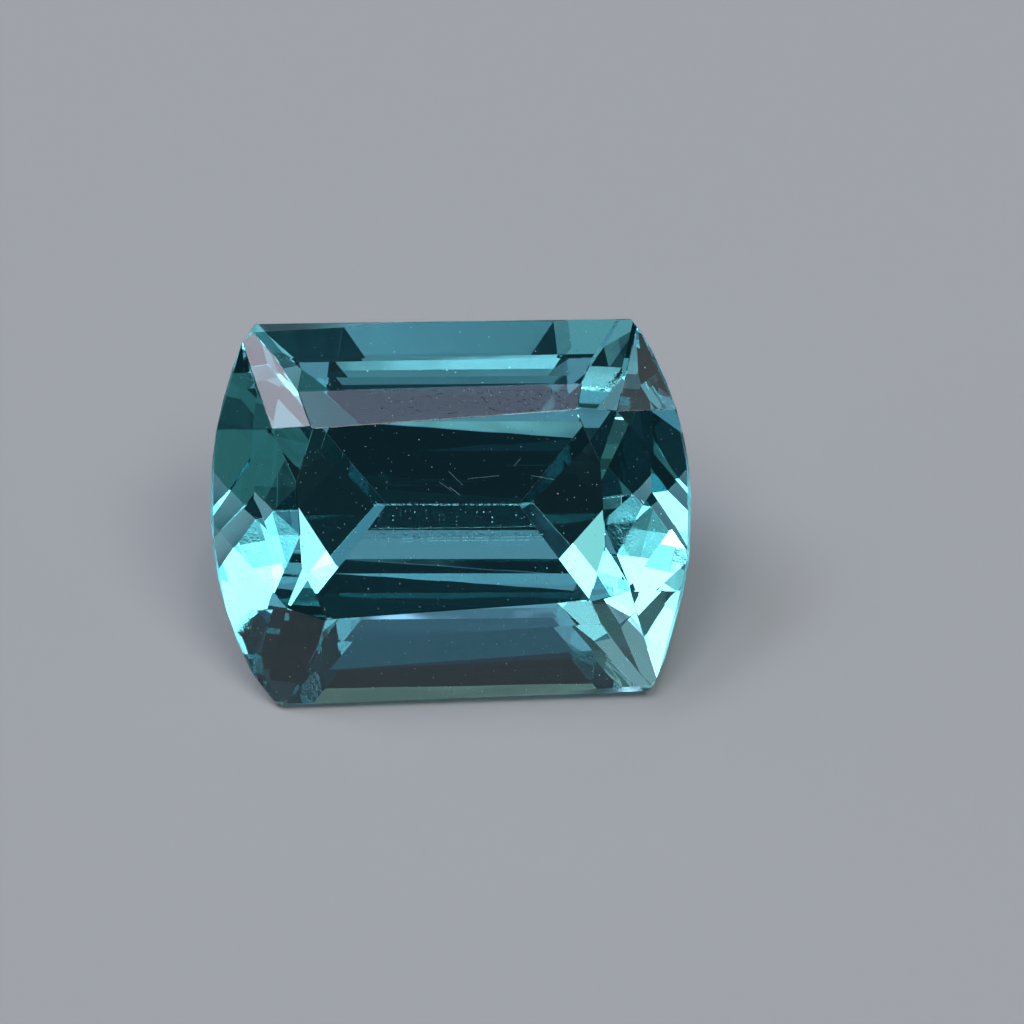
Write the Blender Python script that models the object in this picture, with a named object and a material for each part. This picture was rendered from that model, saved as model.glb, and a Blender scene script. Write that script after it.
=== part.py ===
"""A barrel-cut tourmaline: one faceted solid, lying on a facet of its pavilion.

The stone is made the way a cutter makes it. A block of rough is ground flat
against one plane after another until only the facets are left. While it is cut,
X runs along the keel, Y across the stone and Z up through the table, Z = 0 is
the middle of the girdle, and lengths are in millimetres. The facets pass through
named meet points. The table, the girdle and the keel are turned a few degrees
from one another, and no two corners are quite alike, as on a hand-cut stone.
Last, the stone is tipped over onto the pavilion facet that it comes to rest on,
and scaled to metres.
"""

import math

import bmesh
import bpy
from mathutils import Matrix, Vector

MILLIMETRE = 0.001

# Outline at the girdle. A quarter is named by the signs of X and Y, a side by that of Y.
QUARTERS = ((1, 1), (-1, 1), (1, -1), (-1, -1))
HALF_LENGTH = 6.00
HALF_WIDTH = 4.70
END_RADIUS = {(1, 1): 8.8, (-1, 1): 10.3, (1, -1): 9.6, (-1, -1): 9.0}
FLATS_PER_QUARTER = 6
END_CORNER_Y = 4.40
END_TURN = 2.5
SIDE_TURN = {1: 0.8, -1: 2.1}
CORNER_AZIMUTH = 37.0
CORNER_TURN = 1.7
CORNER_REACH = {(1, 1): 6.46, (-1, 1): 6.66, (1, -1): 6.63, (-1, -1): 6.42}
GIRDLE_HALF_THICKNESS = 0.12

# Crown: a table, three steps along each side, and meet points round each end.
# The third step ends at the girdle, so its slope follows from the other two.
TABLE_HEIGHT = 1.766
TABLE_TURN = 4.1
STEP_SLOPES = (30.7, 35.4)
STEP_TURNS = {1: (4.1, 3.7, 3.3), -1: (4.1, 4.1, 4.0)}
STEP_EDGES = {1: (2.37, 3.13, 3.83, HALF_WIDTH), -1: (2.37, 2.99, 3.80, HALF_WIDTH)}
TABLE_CORNER = (3.25, 2.37)
TABLE_END = (3.76, 1.05)
END_MEET = {(1, 1): (4.28, 2.24), (-1, 1): (4.28, 2.41), (1, -1): (4.28, 2.24), (-1, -1): (4.24, 2.06)}
CORNER_MEET = (3.33, 2.50)
MEET_DROP = {(1, 1): 0.0, (-1, 1): 0.008, (1, -1): 0.016, (-1, -1): 0.004}

# Pavilion: a keel, and five tiers along each side. The last tier of each side ends at
# the girdle, so its slope follows from the rest.
KEEL_DEPTH = 4.98
KEEL_HALF_LENGTH = 1.68
TIER_EDGES = {1: (0.0, 0.58, 1.28, 2.15, 2.83, HALF_WIDTH), -1: (0.0, 0.63, 1.33, 1.68, 3.07, HALF_WIDTH)}
TIER_SLOPES = {1: (40.0, 40.5, 40.9, 44.2), -1: (40.2, 41.2, 46.1, 47.4)}
LAST_TIER_TURN = 0.2
REST_TIER = 3

# Pavilion ends: the kite at the keel's end reaches out to the second tier edges. A second
# row runs from there to a meet point over the chord of the next two tiers. Two facets of
# a third row and three of a row along the girdle follow, each with its own azimuth and
# slope, and one facet for each corner. A facet of the third row is placed by the point in
# plan where it cuts into the second.
KEEL_KITE_CORNER_X = 2.685
KEEL_KITE_TIP_X = 3.82
SECOND_ROW_CORNER = {(1, 1): (3.37, 2.11), (-1, 1): (3.43, 2.14), (1, -1): (3.43, 2.27), (-1, -1): (3.37, 2.17)}
END_FACET = {(1, 1): (51.4, 4.56), (-1, 1): (51.0, 4.58), (1, -1): (52.5, 4.62), (-1, -1): (51.4, 4.58)}
THIRD_ROW = {
    (1, 1): (5.0, 52.0, (4.65, 1.93)),
    (-1, 1): (9.5, 51.2, (4.69, 1.95)),
    (1, -1): (13.4, 53.3, (4.41, 1.93)),
    (-1, -1): (12.4, 51.6, (4.54, 1.93)),
}
GIRDLE_ROW = {
    (1, 1): ((9.5, 54.5), (6.6, 56.5), (30.9, 56.2)),
    (-1, 1): ((7.4, 54.8), (7.6, 58.0), (30.8, 56.2)),
    (1, -1): ((11.5, 55.3), (9.3, 53.9), (27.2, 56.0)),
    (-1, -1): ((10.2, 52.8), (11.6, 55.3), (31.5, 57.0)),
}
CORNER_SLOPE = {(1, 1): 53.3, (-1, 1): 54.0, (1, -1): 54.1, (-1, -1): 54.7}

ROUGH_MARGIN = 1.0
SAME_POINT = 1e-4
COLOUR = (0.16, 0.55, 0.60, 1.0)
ROUGHNESS = 0.05
REFRACTION = 1.63


def leaning(azimuth, slope, facing=1):
    """Unit vector leaning `slope` degrees from +Z, or from -Z, towards `azimuth` degrees."""
    turn = math.radians(azimuth)
    tip = math.radians(slope)
    across = math.sin(tip)
    return Vector((math.cos(turn) * across, math.sin(turn) * across, facing * math.cos(tip)))


def turned(facet, degrees):
    """A facet turned about the upright axis."""
    turn = Matrix.Rotation(math.radians(degrees), 3, "Z")
    return tuple(turn @ vector for vector in facet)


def in_quarter(facet, quarter):
    """A facet of the first quarter, mirrored into the named one."""
    flip = Vector((*quarter, 1))
    return tuple(vector * flip for vector in facet)


def on_plane(place, facet):
    """The point of a facet's plane over or under a place in plan."""
    point, normal = facet
    run = (place[0] - point.x) * normal.x + (place[1] - point.y) * normal.y
    return Vector((*place, point.z - run / normal.z))


def through(a, b, c):
    """A facet through three meet points: one of them, and its outward normal."""
    a, b, c = Vector(a), Vector(b), Vector(c)
    normal = (b - a).cross(c - a).normalized()
    if normal.dot(a) < 0:
        normal.negate()
    return a, normal


def on_arc(quarter, degrees):
    """The outline point where the end's arc faces an azimuth."""
    radius = END_RADIUS[quarter]
    angle = math.radians(degrees)
    return HALF_LENGTH - radius + radius * math.cos(angle), radius * math.sin(angle)


def end_vertices(quarter):
    """Outline points on the arc from the middle of an end to its corner."""
    sweep = math.degrees(math.asin(END_CORNER_Y / END_RADIUS[quarter]))
    return [on_arc(quarter, sweep * step / FLATS_PER_QUARTER) for step in range(FLATS_PER_QUARTER + 1)]


def girdle_facets():
    """Upright flats round the outline."""
    facets = []
    for side, turn in SIDE_TURN.items():
        facets.append(turned((Vector((0, side * HALF_WIDTH, 0)), leaning(side * 90, 90)), turn))
    corner_normal = leaning(CORNER_AZIMUTH, 90)
    for quarter in QUARTERS:
        arc = end_vertices(quarter)
        for start, end in zip(arc, arc[1:]):
            flat = through((*start, 0), (*end, 0), (*start, 1))
            facets.append(turned(in_quarter(flat, quarter), END_TURN))
        corner = (corner_normal * CORNER_REACH[quarter], corner_normal)
        facets.append(turned(in_quarter(corner, quarter), CORNER_TURN))
    return facets


def with_last(slopes, edges, height):
    """The slopes of a side, with the last one found so that the flats drop `height` in all."""
    used = sum(
        (outer - inner) * math.tan(math.radians(slope))
        for slope, inner, outer in zip(slopes, edges, edges[1:])
    )
    return (*slopes, math.degrees(math.atan((height - used) / (edges[-1] - edges[-2]))))


def side_facets(side, edges, slopes, turns, height, facing):
    """Long flats along one side, each starting where the one before it ends."""
    facets = []
    for slope, turn, inner, outer in zip(slopes, turns, edges, edges[1:]):
        flat = (Vector((0, side * inner, height)), leaning(side * 90, slope, facing))
        facets.append(turned(flat, turn))
        height -= facing * (outer - inner) * math.tan(math.radians(slope))
    return facets


def crown_end(quarter):
    """The facets of one quarter of the crown, each through three meet points."""
    arc = end_vertices(quarter)
    fall = (TABLE_HEIGHT - GIRDLE_HALF_THICKNESS) / (HALF_LENGTH - TABLE_END[0])
    meet_height = TABLE_HEIGHT - (END_MEET[quarter][0] - TABLE_END[0]) * fall - MEET_DROP[quarter]
    step_fall = math.tan(math.radians(STEP_SLOPES[0]))
    corner_height = TABLE_HEIGHT - (CORNER_MEET[1] - TABLE_CORNER[1]) * step_fall

    def meet_point(place, height, turn):
        point = Vector((quarter[0] * place[0], quarter[1] * place[1], height))
        return Matrix.Rotation(math.radians(turn), 3, "Z") @ point

    table_corner = meet_point(TABLE_CORNER, TABLE_HEIGHT, TABLE_TURN)
    table_end = meet_point(TABLE_END, TABLE_HEIGHT, TABLE_TURN)
    table_middle = meet_point((TABLE_END[0], 0), TABLE_HEIGHT, TABLE_TURN)
    meet = meet_point(END_MEET[quarter], meet_height, TABLE_TURN)
    corner_meet = meet_point(CORNER_MEET, corner_height, TABLE_TURN)
    tip = meet_point(arc[0], GIRDLE_HALF_THICKNESS, END_TURN)
    haunch = meet_point(arc[len(arc) // 2], GIRDLE_HALF_THICKNESS, END_TURN)
    corner = meet_point(arc[-1], GIRDLE_HALF_THICKNESS, END_TURN)
    return [
        through(table_corner, table_end, meet),
        through(table_end, table_middle, tip),
        through(tip, haunch, meet),
        through(haunch, corner, meet),
        through(corner_meet, corner, meet),
    ]


def crown_facets():
    """The table, three steps along each side and the facets round the ends."""
    facets = [(Vector((0, 0, TABLE_HEIGHT)), Vector((0, 0, 1)))]
    for side, edges in STEP_EDGES.items():
        slopes = with_last(STEP_SLOPES, edges, TABLE_HEIGHT - GIRDLE_HALF_THICKNESS)
        facets += side_facets(side, edges, slopes, STEP_TURNS[side], TABLE_HEIGHT, 1)
    for quarter in QUARTERS:
        facets += crown_end(quarter)
    return facets


def tier_slopes(side):
    """The slopes of one side of the pavilion, from the keel to the girdle."""
    return with_last(TIER_SLOPES[side], TIER_EDGES[side], KEEL_DEPTH - GIRDLE_HALF_THICKNESS)


def tier_height(side, distance):
    """Height of the pavilion's side at a distance from the keel, in plan."""
    height = -KEEL_DEPTH
    edges = TIER_EDGES[side]
    for slope, inner, outer in zip(tier_slopes(side), edges, edges[1:]):
        height += max(0, min(outer, distance) - inner) * math.tan(math.radians(slope))
    return height


def pavilion_end(quarter):
    """The rows of kites on one quarter of the pavilion, from the keel out."""
    keel_end = Vector((KEEL_HALF_LENGTH, 0, -KEEL_DEPTH))
    kite_corners = []
    for side in (quarter[1], -quarter[1]):
        edge = TIER_EDGES[side][2]
        kite_corners.append(Vector((KEEL_KITE_CORNER_X, side * quarter[1] * edge, tier_height(side, edge))))
    keel_kite = through(keel_end, *kite_corners)
    kite_tip = on_plane((KEEL_KITE_TIP_X, 0), keel_kite)
    row_corner = SECOND_ROW_CORNER[quarter]
    inner, outer = TIER_EDGES[quarter[1]][2], TIER_EDGES[quarter[1]][4]
    rise = (tier_height(quarter[1], outer) - kite_corners[0].z) / (outer - inner)
    row_height = kite_corners[0].z + (row_corner[1] - inner) * rise
    second = through(kite_corners[0], kite_tip, (*row_corner, row_height))
    rows = [keel_kite, second]
    end_slope, end_x = END_FACET[quarter]
    rows.append((on_plane((end_x, 0), second), leaning(0, end_slope, -1)))
    azimuth, slope, place = THIRD_ROW[quarter]
    rows.append((on_plane(place, second), leaning(azimuth, slope, -1)))
    rows = [in_quarter(facet, quarter) for facet in rows]

    for azimuth, slope in GIRDLE_ROW[quarter]:
        foot = Vector((*on_arc(quarter, azimuth), -GIRDLE_HALF_THICKNESS))
        rows.append(turned(in_quarter((foot, leaning(azimuth, slope, -1)), quarter), END_TURN))
    corner = leaning(CORNER_AZIMUTH, 90) * CORNER_REACH[quarter]
    corner.z = -GIRDLE_HALF_THICKNESS
    flat = (corner, leaning(CORNER_AZIMUTH, CORNER_SLOPE[quarter], -1))
    rows.append(turned(in_quarter(flat, quarter), CORNER_TURN))
    return rows


def pavilion_facets():
    """The tiers along each side of the keel, and the rows at the ends."""
    facets = []
    for side, edges in TIER_EDGES.items():
        slopes = tier_slopes(side)
        turns = [0.0] * (len(slopes) - 1) + [LAST_TIER_TURN]
        facets += side_facets(side, edges, slopes, turns, -KEEL_DEPTH, -1)
    for quarter in QUARTERS:
        facets += pavilion_end(quarter)
    return facets


def grind(stone, facet):
    """Cut away all that lies outside a plane, and close the cut with one flat face."""
    parts = stone.verts[:] + stone.edges[:] + stone.faces[:]
    point, normal = facet
    bmesh.ops.bisect_plane(
        stone, geom=parts, dist=SAME_POINT, plane_co=point, plane_no=normal, clear_outer=True
    )
    rim = [edge for edge in stone.edges if edge.is_boundary]
    if rim:
        bmesh.ops.edgeloop_fill(stone, edges=rim)


def cut_stone():
    """The block of rough, ground down to its facets, in millimetres."""
    stone = bmesh.new()
    bmesh.ops.create_cube(stone, size=2.0)
    half = Vector((HALF_LENGTH, HALF_WIDTH, KEEL_DEPTH)) + Vector((ROUGH_MARGIN,) * 3)
    bmesh.ops.scale(stone, vec=half, verts=stone.verts)
    for facet in girdle_facets() + crown_facets() + pavilion_facets():
        grind(stone, facet)
    bmesh.ops.remove_doubles(stone, verts=stone.verts, dist=SAME_POINT)
    bmesh.ops.recalc_face_normals(stone, faces=stone.faces)
    return stone


def lay_on_pavilion(stone):
    """Tip the stone onto a wide tier of its pavilion, with the origin under its middle."""
    tip = Matrix.Rotation(math.radians(TIER_SLOPES[-1][REST_TIER]), 4, "X")
    bmesh.ops.transform(stone, matrix=Matrix.Scale(MILLIMETRE, 4) @ tip, verts=stone.verts)
    low = [min(vertex.co[axis] for vertex in stone.verts) for axis in range(3)]
    high = [max(vertex.co[axis] for vertex in stone.verts) for axis in range(3)]
    foot = Vector(((low[0] + high[0]) / 2, (low[1] + high[1]) / 2, low[2]))
    bmesh.ops.translate(stone, vec=-foot, verts=stone.verts)


def tourmaline_material():
    """Clear blue-green tourmaline with polished facets."""
    material = bpy.data.materials.new("tourmaline")
    material.use_nodes = True
    material.diffuse_color = COLOUR
    shader = material.node_tree.nodes["Principled BSDF"]
    shader.inputs["Base Color"].default_value = COLOUR
    shader.inputs["Roughness"].default_value = ROUGHNESS
    shader.inputs["Metallic"].default_value = 0.0
    shader.inputs["IOR"].default_value = REFRACTION
    shader.inputs["Transmission Weight"].default_value = 1.0
    return material


def main():
    """Build the stone in a collection of its own."""
    for thing in list(bpy.data.objects):
        bpy.data.objects.remove(thing, do_unlink=True)
    collection = bpy.data.collections.new("tourmaline_gemstone")
    bpy.context.scene.collection.children.link(collection)

    stone = cut_stone()
    lay_on_pavilion(stone)
    mesh = bpy.data.meshes.new("gemstone")
    stone.to_mesh(mesh)
    stone.free()
    mesh.materials.append(tourmaline_material())
    collection.objects.link(bpy.data.objects.new("gemstone", mesh))


main()
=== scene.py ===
# %% [markdown]
# # A barrel-cut tourmaline
# This lesson dresses one cut stone. Its solid is already there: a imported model, in
# metres, lying on a facet of its pavilion (the part below the girdle). What is left is
# what makes it a gem: light that goes in through the crown, bounces off the facets
# underneath and comes out again, the colour that it picks up on the way, and the small
# marks of wear that tell the eye that it is looking at a hard, polished surface.

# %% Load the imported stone
import math

import bmesh
import bpy
import numpy as np
from mathutils import Matrix, Vector


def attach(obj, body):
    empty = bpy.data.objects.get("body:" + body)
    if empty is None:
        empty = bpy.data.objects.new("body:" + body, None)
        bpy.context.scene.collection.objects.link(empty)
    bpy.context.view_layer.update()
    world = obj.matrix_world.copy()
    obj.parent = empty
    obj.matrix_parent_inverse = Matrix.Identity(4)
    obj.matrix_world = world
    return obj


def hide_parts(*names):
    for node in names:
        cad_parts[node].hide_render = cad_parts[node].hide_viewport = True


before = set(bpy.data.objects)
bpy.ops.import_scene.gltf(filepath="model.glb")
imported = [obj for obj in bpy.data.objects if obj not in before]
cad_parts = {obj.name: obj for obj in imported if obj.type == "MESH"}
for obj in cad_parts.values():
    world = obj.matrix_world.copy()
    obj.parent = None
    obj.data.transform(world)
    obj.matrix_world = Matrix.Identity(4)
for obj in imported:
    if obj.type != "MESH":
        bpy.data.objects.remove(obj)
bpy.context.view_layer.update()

MM = 0.001
STONE = bpy.data.objects["gemstone"]

# %% [markdown]
# ## The stone's own axes
# The stone lies tilted, so its facets are awkward to point at in the row's axes. A cutter
# has better ones: X along the keel (the ridge at the bottom), Y across the stone and Z up
# through the table (the large flat facet on top). They can be read off the solid: the
# table is the largest facet, and the keel is what lies furthest under it. Marks are
# placed on these axes below, in millimetres from the middle of the keel.


# %% Read the facets
SAME_DIRECTION = 3


def triangles_of(mesh):
    """Corner places of every triangle, as an array of triangle x corner x axis."""
    mesh.calc_loop_triangles()
    places = np.empty(len(mesh.vertices) * 3)
    mesh.vertices.foreach_get("co", places)
    corners = np.empty(len(mesh.loop_triangles) * 3, dtype=np.int32)
    mesh.loop_triangles.foreach_get("vertices", corners)
    return places.reshape(-1, 3)[corners.reshape(-1, 3)]


def facets_of(triangles):
    """Areas and outward normals of the flat facets.

    Half the cross product of two sides is a triangle's normal times its area, and
    triangles whose normals agree to SAME_DIRECTION decimals make one facet.
    """
    crosses = np.cross(triangles[:, 1] - triangles[:, 0], triangles[:, 2] - triangles[:, 0]) / 2
    areas = np.linalg.norm(crosses, axis=1)
    normals = crosses / areas[:, None]
    kinds, which = np.unique(np.round(normals, SAME_DIRECTION), axis=0, return_inverse=True)
    return np.bincount(which.ravel(), weights=areas), kinds


stone_triangles = triangles_of(STONE.data)
facet_areas, facet_normals = facets_of(stone_triangles)
print(len(facet_areas), "facets, the largest", round(facet_areas.max() / MM**2, 1), "square mm")

# %% Point the axes
KEEL_SLACK = 0.02 * MM
up = Vector(facet_normals[facet_areas.argmax()]).normalized()
along = Vector((1, 0, 0))
across = up.cross(along).normalized()
heights = stone_triangles.reshape(-1, 3) @ np.array(up)
keel_points = stone_triangles.reshape(-1, 3)[heights < heights.min() + KEEL_SLACK]
keel_middle = Vector((keel_points.min(axis=0) + keel_points.max(axis=0)) / 2)
to_stone = Matrix((along, across, up))
TABLE_HEIGHT = (heights.max() - heights.min()) / MM
table_tilt = math.degrees(up.angle(Vector((0, 0, 1))))
print("the table leans", round(table_tilt, 1), "degrees, with", round(TABLE_HEIGHT, 2), "mm under it")


def on_stone(x, y, z):
    """A place in the row from a place on the stone's own axes, in mm."""
    return keel_middle + (along * x + across * y + up * z) * MM


# %% [markdown]
# ## One face for each facet
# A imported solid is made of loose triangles. On a real stone a facet is one flat lapped
# face, and the ridge where two of them meet is never perfectly sharp: polishing breaks
# it by a few thousandths of a millimetre. That narrow facet is what glints along the
# edges of a stone. So a copy of the solid is merged, its coplanar triangles are joined
# into facets, and a Bevel modifier breaks the ridges.

# %% Merge the triangles into facets
SAME_POINT = 0.0005 * MM
FLAT_WITHIN = math.radians(0.4)
RIDGE_WIDTH = 0.012 * MM


def facetted_copy(node, name):
    """The node's solid with shared corners and one face for each flat facet."""
    mesh = node.data.copy()
    mesh.name = name
    shape = bmesh.new()
    shape.from_mesh(mesh)
    bmesh.ops.remove_doubles(shape, verts=shape.verts, dist=SAME_POINT)
    bmesh.ops.dissolve_limit(shape, angle_limit=FLAT_WITHIN, verts=shape.verts, edges=shape.edges)
    shape.to_mesh(mesh)
    shape.free()
    mesh.materials.clear()
    mesh.polygons.foreach_set("use_smooth", [False] * len(mesh.polygons))
    piece = bpy.data.objects.new(name, mesh)
    bpy.context.scene.collection.objects.link(piece)
    return piece


stone = facetted_copy(STONE, "polished_stone")
corners = [corner.co for corner in stone.data.vertices]
shortest = min((corners[a] - corners[b]).length for a, b in stone.data.edge_keys)
print(len(stone.data.polygons), "facets, shortest ridge", round(shortest / MM, 3), "mm")

# %% Break the ridges
HANDLED_ABOVE = 4.5
SHELTERED = 0.1


def ridge_shares(mesh):
    """How far each ridge is worn: fully on the crown and girdle, little underneath."""
    ends = np.empty(len(mesh.edges) * 2, dtype=np.int32)
    mesh.edges.foreach_get("vertices", ends)
    corners = np.array([corner.co for corner in mesh.vertices])
    middles = corners[ends.reshape(-1, 2)].mean(axis=1)
    heights = (middles - np.array(keel_middle)) @ np.array(up) / MM
    return np.where(heights > HANDLED_ABOVE, 1.0, SHELTERED)


shares = stone.data.attributes.new("bevel_weight_edge", "FLOAT", "EDGE")
shares.data.foreach_set("value", ridge_shares(stone.data).astype(np.float32))
ridges = stone.modifiers.new("broken_ridges", "BEVEL")
ridges.width = RIDGE_WIDTH
ridges.segments = 1
ridges.limit_method = "WEIGHT"
ridges.use_clamp_overlap = False
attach(stone, "root")
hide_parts("gemstone")

# %% [markdown]
# ## Tourmaline
# A cut tourmaline has no paint and no surface colour. Its index of refraction, 1.63,
# decides how steeply light has to strike a facet from inside to be thrown back, and its
# colour grows with the length of the way through the crystal: red is soaked up first,
# then a little green and blue, so short paths look like ice and long ones like deep
# teal. A Principled shader with full transmission gives the surface, and Volume
# Absorption on the closed solid gives the colour.
#
# Colours are written as the hex values a picture shows and turned to light by one
# function, and one small function adds a node with its settings and links.


# %% Colours and nodes
def linear(hex_colour):
    """Red, green, blue and alpha 1 as amounts of light, from an sRGB hex colour."""
    values = [int(hex_colour[i:i + 2], 16) / 255 for i in (1, 3, 5)]
    return tuple(v / 12.92 if v <= 0.04045 else ((v + 0.055) / 1.055) ** 2.4 for v in values) + (1.0,)


def add(tree, kind, links=(), **settings):
    """One node with its settings, and its inputs linked or set by name or number."""
    node = tree.nodes.new(kind)
    for name, value in settings.items():
        setattr(node, name, value)
    for socket, value in links:
        if isinstance(value, bpy.types.NodeSocket):
            tree.links.new(value, node.inputs[socket])
        else:
            node.inputs[socket].default_value = value
    return node


def new_material(name):
    """A material with its node tree and its Principled shader."""
    material = bpy.data.materials.new(name)
    material.use_nodes = True
    return material, material.node_tree, material.node_tree.nodes["Principled BSDF"]


# %% [markdown]
# ### Marks in the polish
# Five kinds of wear and workmanship break an old polish: pits scattered everywhere, more
# of them on one step of the crown, chips along the keel, a few scratches on the table,
# and a girdle that was ground and never polished. They are too small to model as facets,
# so they are places where the surface is rough. All of them are drawn on the stone's own
# axes: Object coordinates go through a Mapping node that turns them by the stone's tilt
# and counts in millimetres.

# %% Places on the stone's axes
GIRDLE_HALF_THICKNESS = 0.12
GIRDLE_HEIGHT = 4.98
CLEAR_OF_TABLE = 0.01
CLEAR_OF_FACETS = 0.003


def stone_place(tree):
    """Object coordinates on the stone's own axes, in mm from the middle of the keel."""
    coordinates = add(tree, "ShaderNodeTexCoord")
    turn = add(tree, "ShaderNodeMapping", [
        ("Vector", coordinates.outputs["Object"]),
        ("Location", tuple(-(to_stone @ keel_middle) / MM)),
        ("Rotation", tuple(to_stone.to_euler())),
        ("Scale", (1 / MM,) * 3),
    ])
    return turn.outputs["Vector"]


def joined(tree, masks, operation="MAXIMUM"):
    """One value out of several: the largest of them, their product or their sum."""
    total = masks[0]
    for mask in masks[1:]:
        total = add(tree, "ShaderNodeMath", [(0, total), (1, mask)], operation=operation).outputs[0]
    return total


def between(tree, value, low, high):
    """1 where a value lies between two limits, 0 elsewhere."""
    half = (high - low) / 2
    near = add(tree, "ShaderNodeMath", [(0, value), (1, low + half), (2, half)], operation="COMPARE")
    return near.outputs[0]


# %% Pits
PIT_SPACING = 0.20
PIT_RADIUS = 0.022
PIT_CHANCE = 0.25
STEP_PIT_SPACING = 0.11
STEP_PIT_RADIUS = 0.020
STEP_PIT_CHANCE = 0.6


def pit_mask(tree, place, spacing, radius, chance):
    """Round pits: near the point of a cell, in the share of the cells that chance picks."""
    cells = add(tree, "ShaderNodeTexVoronoi", [("Vector", place), ("Scale", 1 / spacing)])
    draw = add(tree, "ShaderNodeSeparateColor", [("Color", cells.outputs["Color"])])
    reach = add(tree, "ShaderNodeMapRange", [
        ("Value", draw.outputs["Red"]), ("From Min", 1 - chance), ("From Max", 1.0),
        ("To Min", 0.0), ("To Max", radius / spacing),
    ])
    inside = add(tree, "ShaderNodeMath", [
        (0, cells.outputs["Distance"]), (1, reach.outputs["Result"]),
    ], operation="LESS_THAN")
    return inside.outputs[0]


# %% Keel chips and the worn step
KEEL_CHIP_WIDTH = 0.03
KEEL_CHIP_HEIGHT = 0.06
CHIP_GRAIN = 0.04
BROKEN_SHARE = 0.55
WORN_STEP_Y = (2.0, 3.05)
WORN_STEP_X = (-3.2, 3.15)
WORN_STEP_FADE = 1.8


def keel_chip_mask(tree, place, axes):
    """Chips: grains of noise within a hair of the keel's line."""
    line = between(tree, axes.outputs["Y"], -KEEL_CHIP_WIDTH, KEEL_CHIP_WIDTH)
    low = between(tree, axes.outputs["Z"], -KEEL_CHIP_HEIGHT, KEEL_CHIP_HEIGHT)
    grain = add(tree, "ShaderNodeTexNoise", [("Vector", place), ("Scale", 1 / CHIP_GRAIN), ("Detail", 1.0)])
    broken = add(tree, "ShaderNodeMath", [
        (0, grain.outputs["Fac"]), (1, BROKEN_SHARE),
    ], operation="GREATER_THAN")
    return joined(tree, [line, low, broken.outputs[0]], "MULTIPLY")


def worn_step_mask(tree, axes):
    """The step of the crown behind the table, fading out toward its left end."""
    step = between(tree, axes.outputs["Y"], *WORN_STEP_Y)
    crown = between(tree, axes.outputs["Z"], GIRDLE_HEIGHT, TABLE_HEIGHT - CLEAR_OF_TABLE)
    length = between(tree, axes.outputs["X"], *WORN_STEP_X)
    fade = add(tree, "ShaderNodeMapRange", [
        ("Value", axes.outputs["X"]),
        ("From Min", WORN_STEP_X[0]), ("From Max", WORN_STEP_X[0] + WORN_STEP_FADE),
    ], interpolation_type="SMOOTHSTEP")
    return joined(tree, [step, crown, length, fade.outputs["Result"]], "MULTIPLY")


# %% Scratches on the table
SCRATCH_HALF_WIDTH = 0.008
SCRATCHES = [
    ((-0.07, 1.06), (0.27, 0.73)),
    ((0.40, 0.88), (1.17, 0.96)),
    ((-0.05, 0.68), (0.20, 0.48)),
    ((1.97, 0.96), (2.54, 0.86)),
    ((-0.30, 0.80), (-0.02, 0.60)),
    ((1.55, 1.20), (1.70, 1.38)),
]


def scratch_mask(tree, place, start, end):
    """A straight scratch: closer to the line between two points than half its width."""
    start = Vector((*start, TABLE_HEIGHT))
    end = Vector((*end, TABLE_HEIGHT))
    run = end - start
    from_start = add(tree, "ShaderNodeVectorMath", [(0, place), (1, start)], operation="SUBTRACT")
    share = add(tree, "ShaderNodeVectorMath", [
        (0, from_start.outputs[0]), (1, run / run.length_squared),
    ], operation="DOT_PRODUCT")
    kept = add(tree, "ShaderNodeClamp", [("Value", share.outputs["Value"])])
    foot = add(tree, "ShaderNodeVectorMath", [(0, run), ("Scale", kept.outputs[0])], operation="SCALE")
    away = add(tree, "ShaderNodeVectorMath", [
        (0, from_start.outputs[0]), (1, foot.outputs[0]),
    ], operation="DISTANCE")
    return between(tree, away.outputs["Value"], -SCRATCH_HALF_WIDTH, SCRATCH_HALF_WIDTH)


# %% [markdown]
# ### Relief of the polish
# A lap never leaves a facet quite flat. It stays wavy by a thousandth of a millimetre,
# and light that bounces three or four times inside adds every slope up, so the edges of
# the bright bands waver. Where the stone has rubbed against others the surface is scuffed:
# a fine crumpled relief in a few patches of the crown and along its worn step. Both are
# heights in one Bump node.

# %% Waves and scuffs
WAVE_LENGTH = 1.6
WAVE_HEIGHT = 0.0016
SCUFF_GRAIN = 0.13
SCUFF_SWIRL = 1.2
SCUFF_CORE = 0.4
STEP_SCUFF_HEIGHT = 0.0018
SCUFFS = [
    ((3.75, 3.2), (0.62, 0.45), 0.0040),
    ((4.3, -0.45), (0.45, 0.65), 0.0028),
    ((-5.2, -2.85), (0.45, 0.30), 0.0035),
]


def scuff_mask(tree, place, centre, radii, height):
    """An oval patch: its height in its middle, fading to 0 where the scaled distance is 1."""
    scaled = add(tree, "ShaderNodeMapping", [
        ("Vector", place),
        ("Location", (-centre[0] / radii[0], -centre[1] / radii[1], 0)),
        ("Scale", (1 / radii[0], 1 / radii[1], 0)),
    ])
    away = add(tree, "ShaderNodeVectorMath", [(0, scaled.outputs["Vector"])], operation="LENGTH")
    patch = add(tree, "ShaderNodeMapRange", [
        ("Value", away.outputs["Value"]), ("From Min", 1.0), ("From Max", SCUFF_CORE),
        ("To Max", height / WAVE_HEIGHT),
    ], interpolation_type="SMOOTHSTEP")
    return patch.outputs["Result"]


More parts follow.
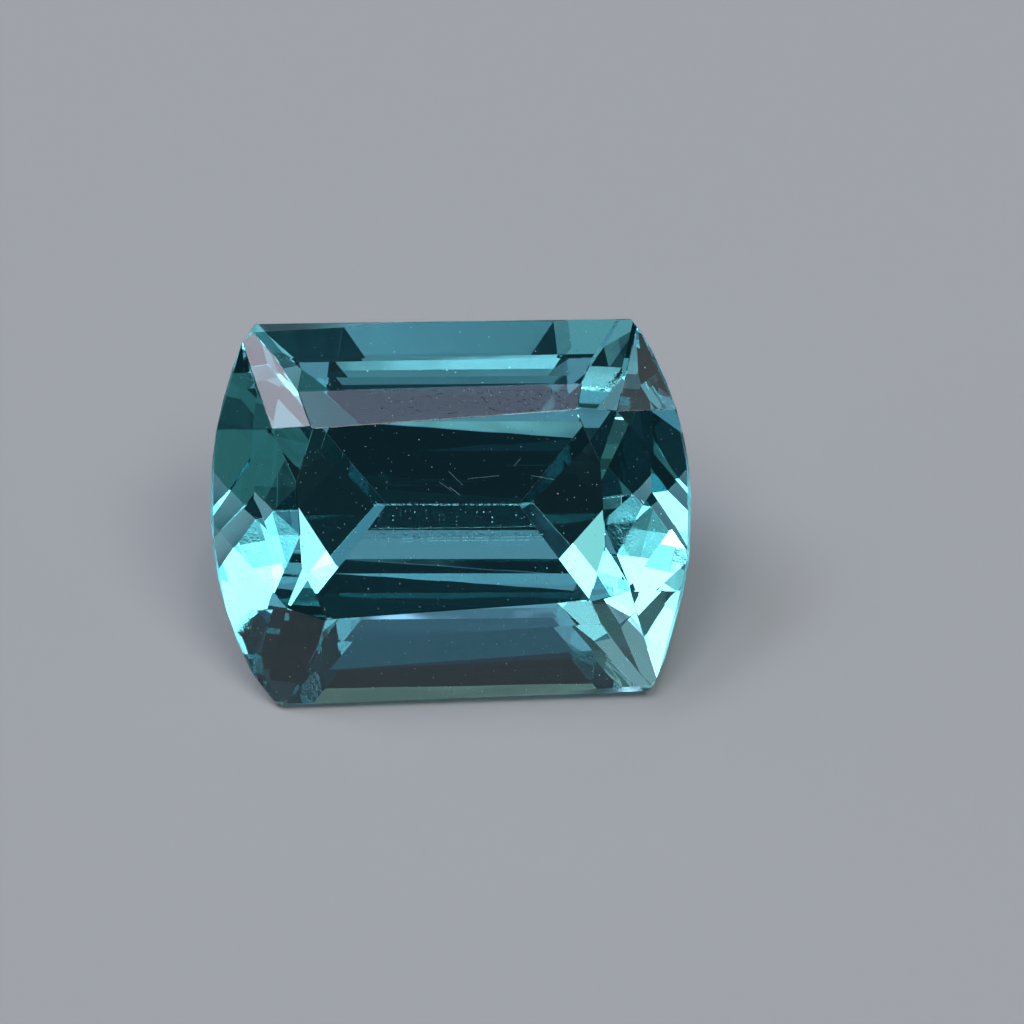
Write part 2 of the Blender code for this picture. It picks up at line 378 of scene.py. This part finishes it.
def relief(tree, place, axes):
    """The normal of the polish: long waves everywhere, crumpled where it is scuffed."""
    waves = add(tree, "ShaderNodeTexNoise", [
        ("Vector", place), ("Scale", 1 / WAVE_LENGTH), ("Detail", 1.0),
    ])
    crumple = add(tree, "ShaderNodeTexNoise", [
        ("Vector", place), ("Scale", 1 / SCUFF_GRAIN), ("Detail", 1.0), ("Distortion", SCUFF_SWIRL),
    ])
    patches = [scuff_mask(tree, place, *scuff) for scuff in SCUFFS]
    step = add(tree, "ShaderNodeMath", [
        (0, worn_step_mask(tree, axes)), (1, STEP_SCUFF_HEIGHT / WAVE_HEIGHT),
    ], operation="MULTIPLY")
    crown = between(tree, axes.outputs["Z"], GIRDLE_HEIGHT, TABLE_HEIGHT - CLEAR_OF_TABLE)
    rubbed = joined(tree, patches + [step.outputs[0]])
    scuffed = joined(tree, [rubbed, crown, crumple.outputs["Fac"]], "MULTIPLY")
    height = joined(tree, [waves.outputs["Fac"], scuffed], "ADD")
    bump = add(tree, "ShaderNodeBump", [
        ("Height", height), ("Strength", 1.0), ("Distance", WAVE_HEIGHT * MM),
    ])
    return bump.outputs["Normal"]


# %% [markdown]
# ### The shader
# The polish is a perfect mirror, the marks scatter, and the girdle has the fine frost of
# a grinding wheel. All three are one value in the Roughness socket.

# %% Polished tourmaline
REFRACTION = 1.63
ABSORBED_COLOUR = (0.21, 0.86, 0.93, 1.0)
ABSORPTION_PER_METRE = 140.0
PITTED = 0.45
GROUND = 0.35


def polished_tourmaline():
    """Lapped tourmaline: mirror-smooth facets with worn places, coloured by depth."""
    material, tree, shader = new_material("polished_tourmaline")
    shader.inputs["Base Color"].default_value = (1, 1, 1, 1)
    shader.inputs["IOR"].default_value = REFRACTION
    shader.inputs["Transmission Weight"].default_value = 1.0
    place = stone_place(tree)
    axes = add(tree, "ShaderNodeSeparateXYZ", [("Vector", place)])
    marks = [pit_mask(tree, place, PIT_SPACING, PIT_RADIUS, PIT_CHANCE)]
    marks.append(keel_chip_mask(tree, place, axes))
    step_pits = pit_mask(tree, place, STEP_PIT_SPACING, STEP_PIT_RADIUS, STEP_PIT_CHANCE)
    marks.append(joined(tree, [step_pits, worn_step_mask(tree, axes)], "MULTIPLY"))
    marks += [scratch_mask(tree, place, start, end) for start, end in SCRATCHES]
    girdle_edge = GIRDLE_HALF_THICKNESS - CLEAR_OF_FACETS
    girdle = between(tree, axes.outputs["Z"], GIRDLE_HEIGHT - girdle_edge, GIRDLE_HEIGHT + girdle_edge)
    pitted = add(tree, "ShaderNodeMath", [(0, joined(tree, marks)), (1, PITTED)], operation="MULTIPLY")
    ground = add(tree, "ShaderNodeMath", [(0, girdle), (1, GROUND)], operation="MULTIPLY")
    roughness = joined(tree, [pitted.outputs[0], ground.outputs[0]])
    tree.links.new(roughness, shader.inputs["Roughness"])
    tree.links.new(relief(tree, place, axes), shader.inputs["Normal"])
    absorption = add(tree, "ShaderNodeVolumeAbsorption", [
        ("Color", ABSORBED_COLOUR), ("Density", ABSORPTION_PER_METRE),
    ])
    tree.links.new(absorption.outputs["Volume"], tree.nodes["Material Output"].inputs["Volume"])
    return material


PATH_LENGTH = 6.0
stone.data.materials.append(polished_tourmaline())
for wavelength, kept in zip(("red", "green", "blue"), ABSORBED_COLOUR):
    left = math.exp(-ABSORPTION_PER_METRE * (1 - kept) * PATH_LENGTH * MM)
    print(f"{wavelength}: {left:.0%} is left after {PATH_LENGTH} mm")

# %% [markdown]
# ## Dust
# Dust settles on a stone within minutes, and on a dark table every fleck shows. A fleck
# is a flat crumb a few hundredths of a millimetre across. Each is a closed shape with six
# corners, two above one another and four round them, and all of them are one mesh made
# from arrays: places drawn at random on the facets that face up, and random sizes.

# %% Places for the flecks
FLECKS = 620
FLECK_RADIUS = (0.006, 0.017)
FLECK_STRETCH = (0.5, 1.4)
FLECK_FLATNESS = 0.35
FACES_UP = 0.3
SEED = 41


def places_on_facets(count, dice):
    """Random points on the crown's triangles, each with its facet's normal.

    A triangle is drawn with a chance in proportion to its area. Two random shares,
    folded back into the triangle where their sum passes one, place a point on it.
    """
    crosses = np.cross(
        stone_triangles[:, 1] - stone_triangles[:, 0], stone_triangles[:, 2] - stone_triangles[:, 0]
    )
    areas = np.linalg.norm(crosses, axis=1)
    normals = crosses / areas[:, None]
    chances = areas * (normals @ np.array(up) > FACES_UP)
    drawn = dice.choice(len(areas), size=count, p=chances / chances.sum())
    shares = dice.random((count, 2))
    shares = np.where(shares.sum(axis=1, keepdims=True) > 1, 1 - shares, shares)
    corners = stone_triangles[drawn]
    sides = corners[:, 1:] - corners[:, :1]
    return corners[:, 0] + (shares[:, :, None] * sides).sum(axis=1), normals[drawn]


def flecks_on(places, normals, dice):
    """Corners and triangles of one six-cornered crumb at each place.

    Two directions at right angles to the normal carry the four outer corners, each at
    its own distance, and the normal carries the top and the bottom.
    """
    count = len(places)
    first = np.cross(normals, dice.standard_normal((count, 3)))
    first /= np.linalg.norm(first, axis=1, keepdims=True)
    second = np.cross(normals, first)
    size = dice.uniform(*FLECK_RADIUS, (count, 1)) ** 2 / FLECK_RADIUS[1] * MM
    stretch = dice.uniform(*FLECK_STRETCH, (count, 4))
    ring = np.stack((first, second, -first, -second), axis=1) * (stretch * size)[:, :, None]
    rise = normals * size * FLECK_FLATNESS
    corners = np.concatenate((ring, rise[:, None], -rise[:, None]), axis=1)
    corners += (places + rise)[:, None]
    pattern = np.array([(i, (i + 1) % 4, 4) for i in range(4)] + [((i + 1) % 4, i, 5) for i in range(4)])
    triangles = np.arange(count)[:, None, None] * 6 + pattern[None]
    return corners.reshape(-1, 3), triangles.reshape(-1, 3)


dice = np.random.default_rng(SEED)
fleck_corners, fleck_triangles = flecks_on(*places_on_facets(FLECKS, dice), dice)
print(len(fleck_triangles), "triangles of dust")

# %% Settled dust
FLECK_GRAIN = 0.01


def settled_dust():
    """Lint and skin dust: matte, pale, a little uneven in tone."""
    material, tree, shader = new_material("settled_dust")
    coordinates = add(tree, "ShaderNodeTexCoord")
    grain = add(tree, "ShaderNodeTexNoise", [
        ("Vector", coordinates.outputs["Object"]), ("Scale", 1 / (FLECK_GRAIN * MM)),
    ])
    tone = add(tree, "ShaderNodeMix", [
        (0, grain.outputs["Fac"]), (6, linear("#8f9ea2")), (7, linear("#dfe8ea")),
    ], data_type="RGBA")
    tree.links.new(tone.outputs[2], shader.inputs["Base Color"])
    shader.inputs["Roughness"].default_value = 1.0
    shader.inputs["Specular IOR Level"].default_value = 0.1
    return material


def piece_from(corners, triangles, name, material):
    """A piece of the scene from arrays of corners and triangles."""
    mesh = bpy.data.meshes.new(name)
    mesh.from_pydata(corners.tolist(), [], triangles.tolist())
    mesh.materials.append(material)
    piece = bpy.data.objects.new(name, mesh)
    bpy.context.scene.collection.objects.link(piece)
    return piece


dust = piece_from(fleck_corners, fleck_triangles, "dust", settled_dust())
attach(dust, "root")

# %% [markdown]
# ## Floor
# A loose stone is looked at on matte paper of a pale grey, which throws a soft light back
# up through the pavilion without drowning its colour.

# %% Paper floor
FLOOR_SIZE = 3.0
FLOOR_GAP = 0.02 * MM
PAPER_FIBRE = 0.3
PAPER_TOOTH = 0.02


def matte_paper():
    """Uncoated pale grey paper: no gloss, with a faint tooth of fibres."""
    material, tree, shader = new_material("uncoated_paper")
    shader.inputs["Base Color"].default_value = linear("#b2b6b9")
    shader.inputs["Roughness"].default_value = 0.9
    shader.inputs["Specular IOR Level"].default_value = 0.2
    coordinates = add(tree, "ShaderNodeTexCoord")
    fibres = add(tree, "ShaderNodeTexNoise", [
        ("Vector", coordinates.outputs["Object"]), ("Scale", 1 / (PAPER_FIBRE * MM)), ("Detail", 0.0),
    ])
    tooth = add(tree, "ShaderNodeBump", [
        ("Height", fibres.outputs["Fac"]), ("Strength", 0.15), ("Distance", PAPER_TOOTH * MM),
    ])
    tree.links.new(tooth.outputs["Normal"], shader.inputs["Normal"])
    return material


bpy.ops.mesh.primitive_plane_add(size=FLOOR_SIZE, location=(0, 0, -FLOOR_GAP))
floor = bpy.context.object
floor.name = "paper_floor"
floor.data.materials.append(matte_paper())

# %% [markdown]
# ## Light
# A gem shows its surroundings, so a dark room with a few soft boxes gives it contrast:
# every facet is either a mirror turned to a lamp or a mirror turned to the dark. A tilt
# of a few degrees swaps one for the other, so a small lamp lights one facet and leaves
# the next black. The boxes are drawn in the world. Each has a name, the azimuth and the
# elevation of its middle, half a width, half a height and a soft rim, all in degrees, and
# then its strength and its tint.

# %% Soft boxes round the stone
ROOM = "#20262a"
UNLIKE = 1e-7
LAMPS = [
    ("front_right", 49.5, 64.3, 12.4, 4.3, 7.3, 4.5, "#fffdf6"),
    ("front_left", -48, 68.1, 13.1, 9.2, 3.3, 3.3, "#fff8f4"),
    ("front_middle", -15, 60, 3.1, 1.1, 5.1, 2.9, "#ffffff"),
    ("front_strip", 3, 50.4, 28, 3, 1.6, 0.36, "#f2eeff"),
    ("front_door", -8.8, 18, 3.6, 14, 1.5, 0.16, "#e4fff0"),
    ("front_haze", -26, 22.6, 2.4, 10.7, 10, 0.15, "#e4fff0"),
    ("right_low", 88.8, 16.8, 21.6, 0.7, 3.2, 1.5, "#ffffff"),
    ("overhead_slit", 76.8, 82.9, 18.9, 1.1, 0.8, 7.6, "#fbfaff"),
    ("left_window", -109.8, 56.1, 6.5, 1.6, 10, 7.5, "#f0ecff"),
    ("left_strip", -94, 18.1, 25.3, 2.6, 1.4, 0.95, "#e8fff4"),
    ("left_wall", -99, 36, 28, 7.1, 4.3, 0.4, "#ffffff"),
    ("above_left", -107.5, 84.2, 10.2, 8.8, 1.1, 1.8, "#d4dcff"),
    ("behind_high", -141, 88, 15.2, 12.3, 8, 0.27, "#b4dcff"),
    ("behind_mid", -176, 66, 4, 10, 5, 0.1, "#58d8ff"),
    ("behind_low", 178.7, 39.8, 2, 1.3, 6.9, 0.9, "#f8ffe8"),
]


def toward(azimuth, elevation):
    """Unit vector seen from the stone: azimuth 0 is the front, 90 the right."""
    a, e = math.radians(azimuth), math.radians(elevation)
    return Vector((math.sin(a) * math.cos(e), -math.cos(a) * math.cos(e), math.sin(e)))


def stripe(tree, direction, axis, half, rim):
    """1 where a direction lies within half an angle of the plane square to an axis.

    The dot product with the axis is the sine of that angle. The stripe falls from 1 to 0
    over the rim, and two stripes crossed make a box.
    """
    sine = add(tree, "ShaderNodeVectorMath", [(0, direction), (1, axis)], operation="DOT_PRODUCT")
    size = add(tree, "ShaderNodeMath", [(0, sine.outputs["Value"])], operation="ABSOLUTE")
    band = add(tree, "ShaderNodeMapRange", [
        ("Value", size.outputs[0]),
        ("From Min", math.sin(math.radians(half + rim))), ("From Max", math.sin(math.radians(half))),
    ], interpolation_type="SMOOTHSTEP")
    return band.outputs["Result"]


def glow_of(tree, direction, lamps):
    """A Background with the light of the dark room plus a soft box for each lamp.

    Blender merges nodes with the same settings, and a merged node is worked out for every
    part of the sky below, needed or not. Axes that are longer by some millionths differ
    from one part to the next, which keeps the parts' nodes apart and can't be seen.
    """
    unlike = 1 + UNLIKE * len(tree.nodes)
    total = add(tree, "ShaderNodeCombineXYZ", list(zip("XYZ", linear(ROOM)))).outputs[0]
    for name, azimuth, elevation, half_width, half_height, rim, strength, tint in lamps:
        sideways = toward(azimuth + 90, 0) * unlike
        upright = toward(azimuth, elevation + 90) * unlike
        wide = stripe(tree, direction, sideways, half_width, rim)
        high = stripe(tree, direction, upright, half_height, rim)
        box = add(tree, "ShaderNodeMath", [(0, wide), (1, high)], operation="MULTIPLY", label=name)
        colour = tuple(strength * value for value in linear(tint)[:3])
        glow = add(tree, "ShaderNodeVectorMath", [
            (0, box.outputs[0]), (1, colour), (2, total),
        ], operation="MULTIPLY_ADD")
        total = glow.outputs[0]
    return add(tree, "ShaderNodeBackground", [("Color", total)]).outputs[0]


# %% [markdown]
# ### One part of the sky at a time
# Every path of light ends by asking the sky how bright it is, so a sky with many boxes
# makes a slow picture. The sky is therefore cut by a few planes through the stone, and a
# direction asks only the boxes on its side of each. A Mix Shader whose factor is exactly
# 0 or 1 skips the half that it doesn't need. Under the horizon there are no boxes at all.

# %% Part the sky
HORIZON = Vector((0, 0, 1))
PARTS = [HORIZON, Vector((0, 1, 1)), Vector((1, 0, 0)), Vector((0, 1, 0))]
LAMP_STEPS = 13
SLACK = 0.02


def reaches(lamp, side):
    """Whether any of a lamp's directions lies on a side of the sky.

    A grid of places over the lamp is laid out by its two sines, as in stripe(), and what
    the sines leave over points straight at it.
    """
    _, azimuth, elevation, half_width, half_height, rim, _, _ = lamp
    steps = np.linspace(-1, 1, LAMP_STEPS)
    wide, high = np.meshgrid(
        steps * math.sin(math.radians(half_width + rim)),
        steps * math.sin(math.radians(half_height + rim)),
    )
    ahead = np.sqrt(1 - wide**2 - high**2)
    axes = (toward(azimuth + 90, 0), toward(azimuth, elevation + 90), toward(azimuth, elevation))
    return sum(part * side.dot(axis) for part, axis in zip((wide, high, ahead), axes)).max() > -SLACK


def sky(tree, direction, lamps, parts):
    """The sky, cut in two by the first of the parts, so that each half asks only its lamps."""
    if not parts or not lamps:
        return glow_of(tree, direction, lamps)
    side = add(tree, "ShaderNodeVectorMath", [(0, direction), (1, parts[0])], operation="DOT_PRODUCT")
    above = add(tree, "ShaderNodeMath", [(0, side.outputs["Value"]), (1, 0.0)], operation="GREATER_THAN")
    lamps_below = [lamp for lamp in lamps if reaches(lamp, -parts[0]) and parts[0] != HORIZON]
    lamps_above = [lamp for lamp in lamps if reaches(lamp, parts[0])]
    whole = add(tree, "ShaderNodeMixShader", [
        (0, above.outputs[0]),
        (1, sky(tree, direction, lamps_below, parts[1:])),
        (2, sky(tree, direction, lamps_above, parts[1:])),
    ])
    return whole.outputs[0]


def studio(lamps):
    """A world with a dark room and soft boxes above the horizon."""
    world = bpy.data.worlds.new("studio")
    world.use_nodes = True
    tree = world.node_tree
    direction = add(tree, "ShaderNodeTexCoord").outputs["Generated"]
    tree.links.new(sky(tree, direction, lamps, PARTS), tree.nodes["World Output"].inputs["Surface"])
    return world


bpy.context.scene.world = studio(LAMPS)
print(len(LAMPS), "lamps in the studio")

# %% [markdown]
# ## Camera
# A long lens close to the stone, looking almost straight down on the table, a few
# degrees from its normal, so that the table is not a mirror for the camera.

# %% Camera
VIEW_TILT = 3.5
LENS = 360.0
SENSOR = 36.0
PIXELS = 1024
STONE_PIXELS = 482
STONE_LENGTH = 12.0
GIRDLE_MIDDLE_PIXEL = (452, 510)
MM_PER_PIXEL = STONE_LENGTH / STONE_PIXELS
camera_data = bpy.data.cameras.new("camera")
camera_data.lens = LENS
camera_data.sensor_width = SENSOR
camera_data.clip_start = MM
camera = bpy.data.objects.new("camera", camera_data)
bpy.context.scene.collection.objects.link(camera)

view = toward(0, 90 - table_tilt + VIEW_TILT)
rightward = Vector((1, 0, 0))
upward = view.cross(rightward)
distance = MM_PER_PIXEL * PIXELS * LENS / SENSOR * MM
centre = on_stone(0, 0, GIRDLE_HEIGHT)
offset = (PIXELS / 2 - GIRDLE_MIDDLE_PIXEL[0], GIRDLE_MIDDLE_PIXEL[1] - PIXELS / 2)
aim = centre + (rightward * offset[0] + upward * offset[1]) * MM_PER_PIXEL * MM
camera.location = aim + view * distance
camera.rotation_euler = Matrix((rightward, upward, view)).transposed().to_euler()
bpy.context.scene.camera = camera
print("camera", round(distance / MM), "mm from the stone")

# %% [markdown]
# ## Light paths
# Light that enters the crown is thrown back two to six times before it finds a way out,
# and each time it crosses or meets a facet counts as one bounce. With too few of them a
# stone fills with black patches. The floor needs only two, because it throws little light
# back on itself. The Standard view shows the light as it is, with no film curve over it.

# %% Light paths
BOUNCES = 13
FLOOR_BOUNCES = 2
scene = bpy.context.scene
scene.view_settings.view_transform = "Standard"
scene.cycles.max_bounces = BOUNCES
scene.cycles.transmission_bounces = BOUNCES
scene.cycles.glossy_bounces = BOUNCES
scene.cycles.diffuse_bounces = FLOOR_BOUNCES
